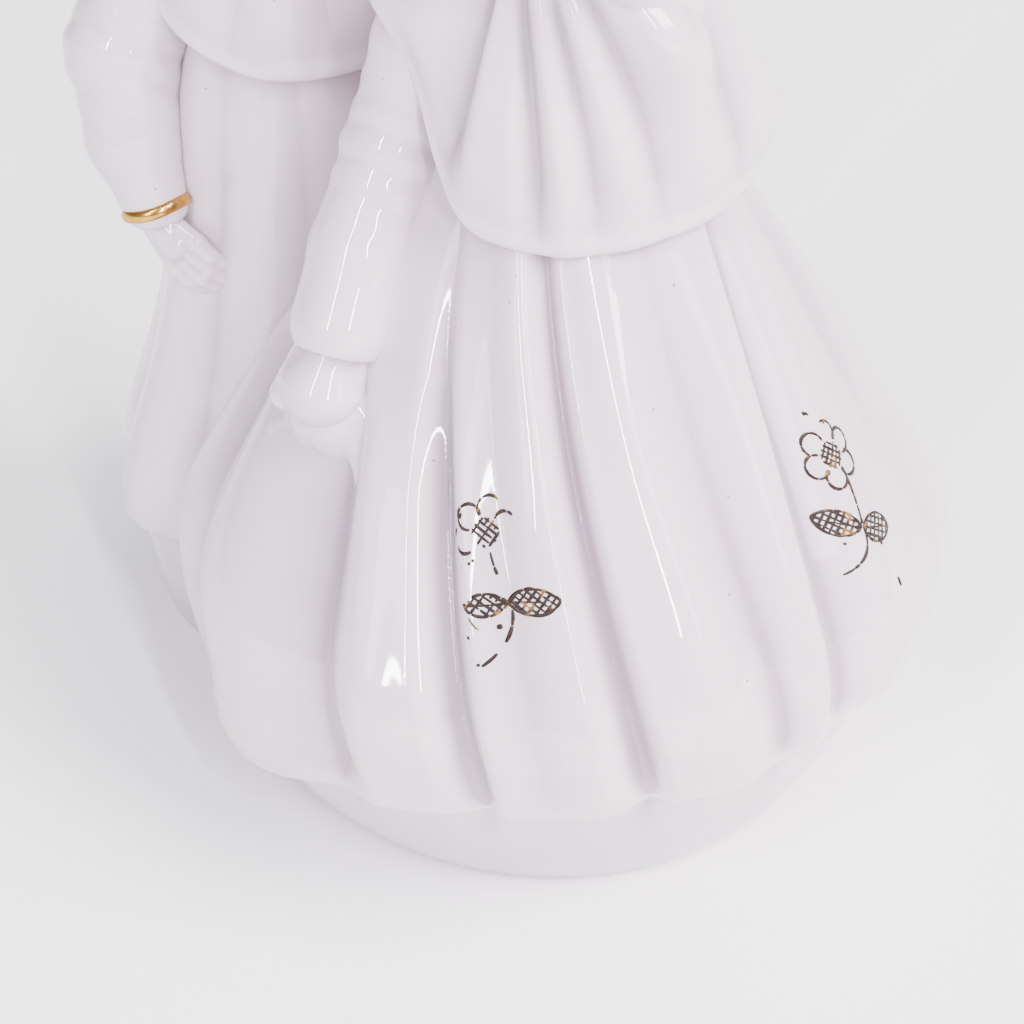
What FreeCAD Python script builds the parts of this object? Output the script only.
"""Porcelain madonna group: a veiled mother with a child on her arm, and a robed companion behind her.

The figure is built as a pottery builds it: hollow castings and small solid castings, luted together with slip
at butt faces, seats and one tenon in each neck, over one undercut foot. Millimetres, +Z up, front towards -Y.
"""

import FreeCAD, Part
import os

import Sketcher
from FreeCAD import Placement, Rotation, Vector

UP = Vector(0, 0, 1)
FLUTES = 14

# Driving dimensions. Radii are measured from each figure's own upright axis, and levels from the table.
SIZES = {
    # where the two figures stand
    "madonna_x": 7.4,
    "madonna_y": -1.25,
    "companion_x": -30.7,
    "companion_y": 25.25,
    # the cast wall, and the levels that the pieces share
    "wall": 3.0,
    "hem_level": 25.0,
    "sweep_level": 37.0,
    "knee_level": 55.0,
    "hip_level": 90.0,
    "cape_hem_level": 94.0,
    "waist_level": 104.0,
    "chest_level": 113.0,
    "shoulder_level": 123.0,
    "collar_level": 133.0,
    "head_level": 149.6,
    # foot
    "madonna_foot": 38.0,
    "companion_foot": 22.0,
    "foot_recess": 1.2,
    "vent_radius": 1.8,
    "vent_offset": 14.0,
    # skirt and robe
    "madonna_hem": 51.5,
    "madonna_sweep": 53.0,
    "madonna_hip": 20.0,
    "madonna_waist": 13.0,
    "skirt_curve": 900.0,
    "companion_hem": 29.0,
    "companion_knee": 20.0,
    "companion_hip": 15.5,
    "companion_waist": 12.0,
    "robe_curve": 90.0,
    "flute_wide": 5.0,
    "flute_narrow": 1.6,
    "flute_depth": 0.7,
    # caped torsos
    "madonna_cape": 22.0,
    "madonna_shoulder": 17.0,
    "companion_cape": 18.5,
    "companion_shoulder": 15.5,
    "cape_curve": 60.0,
    "shoulder_curve": 16.0,
    "collar": 7.0,
    "tenon": 3.2,
    "tenon_length": 5.0,
    # heads and veils
    "neck": 4.2,
    "head_width": 7.6,
    "head_depth": 8.8,
    "head_height": 10.6,
    "veil_width": 10.0,
    "veil_depth": 11.2,
    "veil_height": 12.4,
    "veil_foot": 13.5,
    # arms and hands
    "sleeve_top": 6.0,
    "sleeve_elbow": 5.6,
    "cuff": 4.8,
    "wrist": 2.8,
    "palm": 4.4,
    "knuckle": 3.2,
    "gather": 4.6,
    # gilded bracelet
    "bracelet_width": 2.0,
    "bracelet_thickness": 0.6,
    # child
    "child_body": 5.0,
    "child_hem": 6.2,
    "child_neck": 2.4,
    "child_arm": 2.0,
    "child_head": 5.4,
}

doc = FreeCAD.newDocument("madonna_group")
sheet = doc.addObject("Spreadsheet::Sheet", "sizes")


def fill_sheet():
    """One row for each driving dimension: its name, and its value under an alias of that name."""
    for row, (name, value) in enumerate(SIZES.items(), start=1):
        sheet.set(f"A{row}", name)
        sheet.set(f"B{row}", str(value))
        sheet.setAlias(f"B{row}", name)
    doc.recompute()


def cell(name):
    """A driving dimension as the sheet holds it, in millimetres."""
    return float(sheet.get(name))


def size(name, walls=0.0):
    """A driving dimension plus a number of wall thicknesses, as (expression, millimetres)."""
    return f"sizes.{name} + {walls} * sizes.wall", cell(name) + walls * cell("wall")


def stand(figure):
    """Where a figure's upright axis meets the table."""
    return Vector(cell(f"{figure}_x"), cell(f"{figure}_y"), 0)


def place_on_axis(thing, figure):
    """Binds an object's place to the upright axis of a figure."""
    thing.setExpression("Placement.Base.x", f"sizes.{figure}_x")
    thing.setExpression("Placement.Base.y", f"sizes.{figure}_y")


# ---- turned forms: one closed outline round a figure's axis ----


def segment(start, end, curve):
    """A straight edge, or an arc that bulges to the right of its direction for a positive radius."""
    if not curve:
        return Part.LineSegment(start, end)
    chord = end - start
    radius = abs(curve)
    rise = radius - (radius**2 - chord.Length**2 / 4) ** 0.5
    right = Vector(chord.y, -chord.x, 0).normalize()
    middle = (start + end) / 2 + right * (rise if curve > 0 else -rise)
    return Part.Arc(start, middle, end)


def ends(sketch, edge, start):
    """The two end numbers of an edge, the one at start first: an arc may be stored the other way round."""
    return (1, 2) if sketch.getPoint(edge, 1).distanceToPoint(start) < 1e-6 else (2, 1)


def profile(body, outline):
    """A sketch on the body's XZ plane. A corner is (radius, level), then the curve of the edge that leaves it."""
    sketch = body.newObject("Sketcher::SketchObject", "outline")
    plane = next(f for f in body.Origin.OriginFeatures if f.Role == "XZ_Plane")
    sketch.AttachmentSupport = [(plane, "")]
    sketch.MapMode = "FlatFace"
    corners = [Vector(radius[1], level[1], 0) for radius, level, *_ in outline]
    curves = [step[2] if len(step) > 2 else None for step in outline]
    following = corners[1:] + corners[:1]
    for start, end, curve in zip(corners, following, curves):
        sketch.addGeometry(segment(start, end, curve and curve[1]), False)
    tips = [ends(sketch, edge, corner) for edge, corner in enumerate(corners)]
    for edge, (radius, level, *_) in enumerate(outline):
        before = edge - 1 if edge else len(outline) - 1
        sketch.addConstraint(Sketcher.Constraint("Coincident", before, tips[before][1], edge, tips[edge][0]))
        for kind, (expression, value) in (("DistanceX", radius), ("DistanceY", level)):
            number = sketch.addConstraint(Sketcher.Constraint(kind, -1, 1, edge, tips[edge][0], value))
            sketch.setExpression(f"Constraints[{number}]", expression)
        if curves[edge]:
            number = sketch.addConstraint(Sketcher.Constraint("Radius", edge, abs(curves[edge][1])))
            sketch.setExpression(f"Constraints[{number}]", curves[edge][0])
    return sketch


def turned(name, figure, outline):
    """A PartDesign body turned from a closed outline round a figure's axis."""
    body = doc.addObject("PartDesign::Body", name)
    sketch = profile(body, outline)
    turn = body.newObject("PartDesign::Revolution", "turn")
    turn.Profile = sketch
    turn.ReferenceAxis = (sketch, ["V_Axis"])
    turn.Angle = 360
    place_on_axis(body, figure)
    doc.recompute()
    return body


def inward(pair):
    """The same radius, for an arc that bulges the other way."""
    return pair[0], -pair[1]


AXIS = ("0 * sizes.wall", 0.0)


def at(level):
    """A level shared by the pieces."""
    return size(level)


# ---- primitives and booleans ----


def ball(name, centre, radii):
    """An ellipsoid with its three radii, each a cell's name."""
    part = doc.addObject("Part::Ellipsoid", name)
    for prop, radius in zip(("Radius2", "Radius3", "Radius1"), radii):
        part.setExpression(prop, f"sizes.{radius}")
    part.Placement = Placement(centre, Rotation())
    return part


def bone(name, start, end, start_radius, end_radius):
    """A tapered rod from start to end, each radius a cell's name."""
    part = doc.addObject("Part::Cone", name)
    part.setExpression("Radius1", f"sizes.{start_radius}")
    part.setExpression("Radius2", f"sizes.{end_radius}")
    part.Height = (end - start).Length
    part.Placement = Placement(start, Rotation(UP, end - start))
    return part


def fused(name, shapes):
    """One solid from several that overlap."""
    part = doc.addObject("Part::MultiFuse", name)
    part.Shapes = shapes
    part.Refine = True
    doc.recompute()
    return part


def cut(name, base, *tools):
    """The base less the tools, so that the piece meets its neighbours face to face."""
    part = doc.addObject("Part::Cut", name)
    part.Base = base
    part.Tool = tools[0] if len(tools) == 1 else fused(f"{name}_neighbours", list(tools))
    doc.recompute()
    return part


def limb(name, joints):
    """A sleeve or arm: tapered rods and rounds through its joints. A joint is (point, cell's name)."""
    pieces = []
    for number, ((start, thick), (end, thin)) in enumerate(zip(joints, joints[1:])):
        pieces.append(bone(f"{name}_run_{number}", start, end, thick, thin))
    for number, (point, thick) in enumerate(joints):
        pieces.append(ball(f"{name}_round_{number}", point, (thick, thick, thick)))
    return fused(name, pieces)


# ---- the foot ----


def foot_form(name, shrink, low, high):
    """Both figures' tapers from the table to the hems, fused, each radius less shrink wall thicknesses."""
    tapers = []
    for figure in ("madonna", "companion"):
        taper = doc.addObject("Part::Cone", f"{figure}_{name}")
        taper.setExpression("Radius1", size(f"{figure}_foot", -shrink)[0])
        taper.setExpression("Radius2", size(f"{figure}_hem", -shrink)[0])
        taper.setExpression("Height", f"{high} - ({low})")
        taper.setExpression("Placement.Base.z", low)
        place_on_axis(taper, figure)
        tapers.append(taper)
    return fused(name, tapers)


def foot():
    """The undercut foot of the whole group: a hollow bowl with a ground foot ring and one vent."""
    outside = foot_form("foot_outside", 0, "0 * sizes.wall", "sizes.hem_level")
    hollow = foot_form("foot_hollow", 1, "sizes.wall + sizes.foot_recess", "sizes.hem_level + sizes.wall")
    recesses = []
    for figure in ("madonna", "companion"):
        recess = doc.addObject("Part::Cylinder", f"{figure}_recess")
        recess.setExpression("Radius", size(f"{figure}_foot", -1.3)[0])
        recess.setExpression("Height", "2 * sizes.foot_recess")
        recess.setExpression("Placement.Base.z", "0 - sizes.foot_recess")
        place_on_axis(recess, figure)
        recesses.append(recess)
    vent = doc.addObject("Part::Cylinder", "vent")
    vent.setExpression("Radius", "sizes.vent_radius")
    vent.setExpression("Height", "4 * sizes.wall")
    vent.setExpression("Placement.Base.x", "sizes.madonna_x + sizes.vent_offset")
    vent.setExpression("Placement.Base.y", "sizes.madonna_y")
    return cut("foot", outside, hollow, *recesses, vent)


# ---- skirt and robe ----


def skirt_outline(walls):
    """The madonna's skirt between the foot's rim and her waist, walls thick. No walls gives the solid form."""
    curve = size("skirt_curve")
    outside = [
        (size("madonna_hem"), at("hem_level")),
        (size("madonna_sweep"), at("sweep_level"), curve),
        (size("madonna_hip"), at("hip_level")),
        (size("madonna_waist"), at("waist_level")),
    ]
    if not walls:
        return [(AXIS, at("hem_level"))] + outside + [(AXIS, at("waist_level"))]
    inside = [
        (size("madonna_waist", -walls), at("waist_level")),
        (size("madonna_hip", -walls), at("hip_level"), inward(curve)),
        (size("madonna_sweep", -walls), at("sweep_level")),
        (size("madonna_hem", -walls), at("hem_level")),
    ]
    return outside + inside


def robe_outline(walls):
    """The companion's robe, slim to the knee and flared below it."""
    curve = size("robe_curve")
    outside = [
        (size("companion_hem"), at("hem_level"), inward(curve)),
        (size("companion_knee"), at("knee_level")),
        (size("companion_hip"), at("hip_level")),
        (size("companion_waist"), at("waist_level")),
    ]
    if not walls:
        return [(AXIS, at("hem_level"))] + outside + [(AXIS, at("waist_level"))]
    inside = [
        (size("companion_waist", -walls), at("waist_level")),
        (size("companion_hip", -walls), at("hip_level")),
        (size("companion_knee", -walls), at("knee_level"), curve),
        (size("companion_hem", -walls), at("hem_level")),
    ]
    return outside + inside


def flutes():
    """Tapered cutters evenly round the skirt, from below its hem up to the hip, that sink its valleys."""
    wide, narrow, depth = cell("flute_wide"), cell("flute_narrow"), cell("flute_depth")
    under = Vector(cell("madonna_hem") + wide - depth, 0, cell("hem_level") - cell("wall"))
    sweep = Vector(cell("madonna_sweep") + wide - depth, 0, cell("sweep_level"))
    hip = Vector(cell("madonna_hip") + narrow, 0, cell("hip_level"))
    cutters = []
    for number in range(FLUTES):
        turn = Rotation(UP, 360 * number / FLUTES)
        low, middle, high = (stand("madonna") + turn.multVec(point) for point in (under, sweep, hip))
        cutters.append(bone(f"flute_{number:02}_low", low, middle, "flute_wide", "flute_wide"))
        cutters.append(bone(f"flute_{number:02}_high", middle, high, "flute_wide", "flute_narrow"))
    return cutters


# ---- caped torsos ----


def torso_outline(figure, hollow):
    """A torso under a short cape that falls from the collar. The hollow one is the casting's inside."""
    if hollow:
        return [
            (AXIS, size("waist_level", -1)),
            (size(f"{figure}_waist", -1), size("waist_level", -1)),
            (size(f"{figure}_waist"), at("chest_level")),
            (size("tenon", 1), at("shoulder_level")),
            (AXIS, at("shoulder_level")),
        ]
    return [
        (AXIS, at("cape_hem_level")),
        (size(f"{figure}_cape"), at("cape_hem_level"), size("cape_curve")),
        (size(f"{figure}_shoulder"), at("shoulder_level"), size("shoulder_curve")),
        (size("collar"), at("collar_level")),
        (AXIS, at("collar_level")),
    ]


def head_form(figure, lean):
    """Skull, neck and tenon of a figure in one casting, with the neck and tenon upright on its axis."""
    centre = stand(figure)
    neck = doc.addObject("Part::Cylinder", f"{figure}_neck")
    neck.setExpression("Radius", "sizes.neck")
    neck.Height = cell("head_level") - cell("collar_level")
    neck.Placement = Placement(centre + UP * cell("collar_level"), Rotation())
    tenon = doc.addObject("Part::Cylinder", f"{figure}_tenon")
    tenon.setExpression("Radius", "sizes.tenon")
    tenon.setExpression("Height", "2 * sizes.tenon_length")
    tenon.Placement = Placement(centre + UP * (cell("collar_level") - cell("tenon_length")), Rotation())
    skull_centre = centre + UP * cell("head_level") + lean
    skull = ball(f"{figure}_skull", skull_centre, ("head_width", "head_depth", "head_height"))
    return fused(f"{figure}_head", [neck, tenon, skull])


def tenon_socket(figure):
    """The hole in the collar that takes the tenon, open into the hollow torso."""
    socket = doc.addObject("Part::Cylinder", f"{figure}_socket")
    socket.setExpression("Radius", "sizes.tenon")
    socket.setExpression("Height", "sizes.collar_level - sizes.shoulder_level + sizes.wall")
    socket.setExpression("Placement.Base.z", "sizes.shoulder_level - sizes.wall / 2")
    place_on_axis(socket, figure)
    return socket


def veil_form(figure, lean):
    """The outside of a veil: a hood over the skull, and a drape down to the shoulders."""
    centre = stand(figure) + lean + Vector(0, 1, cell("head_level") + 1)
    hood = ball(f"{figure}_hood", centre, ("veil_width", "veil_depth", "veil_height"))
    low = stand(figure) + Vector(0, 2, cell("shoulder_level"))
    drape = bone(f"{figure}_drape", low, centre, "veil_foot", "veil_width")
    return fused(f"{figure}_veil_form", [hood, drape])


def face_opening(figure, lean, turn):
    """The cutter that opens a veil at the face, turned the way the head looks."""
    opening = ball(f"{figure}_face_opening", Vector(), ("head_width", "veil_depth", "head_height"))
    look = Rotation(UP, turn)
    centre = stand(figure) + lean + UP * (cell("head_level") - 2)
    opening.Placement = Placement(centre + look.multVec(Vector(0, -cell("head_depth"), 0)), look)
    return opening


# ---- arms, hands and child ----

# Joints of each limb from its figure's own axis, shoulder or wrist first, with each thickness's cell.
LIMBS = {
    "madonna_right_sleeve": [(-14, -1, 123, "sleeve_top"), (-23, -4, 97, "sleeve_elbow"), (-28.6, -15, 75, "cuff")],
    "madonna_right_hand": [(-29.6, -17.5, 71, "wrist"), (-31.6, -19, 65, "palm")],
    "madonna_left_sleeve": [(14, -1, 123, "sleeve_top"), (20, -8, 109, "sleeve_elbow"), (7, -20, 120, "cuff")],
    "madonna_left_hand": [(4.5, -22, 122.5, "wrist"), (-1, -21.5, 126, "knuckle")],
    "companion_right_sleeve": [
        (-12.5, -1.5, 121, "sleeve_top"),
        (-24, -6, 96, "sleeve_elbow"),
        (-18.5, -11.5, 75, "cuff"),
    ],
    "companion_right_hand": [(-17.6, -12.5, 70, "wrist"), (-15, -15, 65, "palm")],
    "companion_left_sleeve": [
        (12.5, -1.5, 121, "sleeve_top"),
        (19, -4, 109, "sleeve_elbow"),
        (22.5, -9.5, 116, "cuff"),
    ],
    "companion_left_hand": [(23.2, -12, 118, "wrist"), (24.5, -15.5, 121, "knuckle")],
    "child_body": [
        (7, -20.5, 127.5, "child_hem"),
        (11.5, -18, 138, "child_body"),
        (12.5, -17.5, 143, "child_neck"),
    ],
    "child_right_arm": [(6.5, -20, 138.5, "child_arm"), (1.5, -22, 133.5, "child_arm")],
    "child_left_arm": [(16, -20, 138, "child_arm"), (15, -25.5, 133, "child_arm")],
}
# How far each head leans from its axis.
LEANS = {"madonna": Vector(1.2, -1.6, 0), "companion": Vector(1, -1.2, 0)}
# Which way each face looks, in degrees from -Y, positive towards +X.
TURNS = {"madonna": 24, "companion": 40}
CHILD_HEAD = (12.8, -17, 148.5)
# The pinch of skirt that the madonna's right hand holds, from low on the skirt up to the palm.
GATHER = (Vector(-36, -22, 54), Vector(-31.4, -18.8, 65.5))


def limb_of(name):
    """A limb at its figure's place, before its neighbours are taken out of it."""
    figure = "companion" if name.startswith("companion") else "madonna"
    joints = [(stand(figure) + Vector(x, y, z), thick) for x, y, z, thick in LIMBS[name]]
    return limb(f"{name}_form", joints)


def bracelet(*neighbours):
    """A gilded band round the companion's right wrist, where the sleeve ends."""
    elbow, cuff = (stand("companion") + Vector(*joint[:3]) for joint in LIMBS["companion_right_sleeve"][1:])
    band = doc.addObject("Part::Cylinder", "bracelet_form")
    band.setExpression("Radius", "sizes.cuff + sizes.bracelet_thickness")
    band.setExpression("Height", "sizes.bracelet_width")
    band.Placement = Placement(cuff, Rotation(UP, elbow - cuff))
    return cut("companion_bracelet", band, *neighbours)


# ---- assembly ----


def dress(figure, skirt_solid, *beside):
    """A figure's torso, sleeves, hands, head and veil, each cut to meet those before and those beside it."""
    outside = turned(f"{figure}_torso_outside", figure, torso_outline(figure, hollow=False))
    inside = turned(f"{figure}_torso_inside", figure, torso_outline(figure, hollow=True))
    pieces = {f"{figure}_torso": cut(f"{figure}_torso", outside, inside, skirt_solid, tenon_socket(figure))}
    for side in ("right", "left"):
        sleeve = limb_of(f"{figure}_{side}_sleeve")
        hand = limb_of(f"{figure}_{side}_hand")
        touching = [outside, skirt_solid, *beside]
        pieces[f"{figure}_{side}_sleeve"] = cut(f"{figure}_{side}_sleeve", sleeve, *touching)
        pieces[f"{figure}_{side}_hand"] = cut(f"{figure}_{side}_hand", hand, sleeve, *touching)
    head = head_form(figure, LEANS[figure])
    veil = veil_form(figure, LEANS[figure])
    opening = face_opening(figure, LEANS[figure], TURNS[figure])
    pieces[f"{figure}_head"] = head
    pieces[f"{figure}_veil"] = cut(f"{figure}_veil", veil, head, outside, opening)
    return outside, pieces


def child(*neighbours):
    """The child in a gown, seated on the madonna's left forearm, with a head and two arms of its own."""
    head = ball("child_head", stand("madonna") + Vector(*CHILD_HEAD), ("child_head",) * 3)
    body = limb_of("child_body")
    pieces = {"child_head": head, "child_body": cut("child_body", body, head, *neighbours)}
    for side in ("right", "left"):
        name = f"child_{side}_arm"
        pieces[name] = cut(name, limb_of(name), body, *neighbours)
    return pieces


def build():
    """Every piece by its node's name, in the order that a repairer would lute them."""
    skirt_solid = turned("skirt_solid", "madonna", skirt_outline(0))
    robe_solid = turned("robe_solid", "companion", robe_outline(0))
    pieces = {
        "foot": foot(),
        "madonna_skirt": cut("madonna_skirt", turned("skirt_shell", "madonna", skirt_outline(1)), *flutes()),
        "companion_robe": cut("companion_robe", turned("robe_shell", "companion", robe_outline(1)), skirt_solid),
    }
    madonna, madonna_pieces = dress("madonna", skirt_solid)
    pieces.update(madonna_pieces)
    gather_form = bone("gather_form", *(stand("madonna") + point for point in GATHER), "gather", "knuckle")
    arm = (pieces["madonna_right_hand"], pieces["madonna_right_sleeve"])
    pieces["madonna_skirt_gather"] = cut("madonna_skirt_gather", gather_form, skirt_solid, *arm)
    _, companion_pieces = dress("companion", robe_solid, madonna)
    pieces.update(companion_pieces)
    pieces["companion_bracelet"] = bracelet(pieces["companion_right_sleeve"], robe_solid)
    seat = (pieces["madonna_left_sleeve"], pieces["madonna_left_hand"])
    pieces.update(child(madonna, *seat, pieces["madonna_veil"]))
    return pieces


def check(pieces):
    """Stops the script if any object failed, or any piece is empty or isn't valid."""
    for thing in doc.Objects:
        if "Invalid" in thing.State or "Error" in thing.State:
            raise RuntimeError(f"{thing.Name} failed: {thing.State}")
    for name, piece in pieces.items():
        if piece.Shape.isNull() or not piece.Shape.isValid() or not piece.Shape.Solids:
            raise RuntimeError(f"{name} has no valid solid")


def export(pieces):
    """One STEP file for each piece, named for its node."""
    os.makedirs("parts", exist_ok=True)
    for name, piece in pieces.items():
        piece.Label = name
        piece.Shape.exportStep(f"parts/{name}.step")


fill_sheet()
figure_group = build()
doc.recompute()
check(figure_group)
export(figure_group)
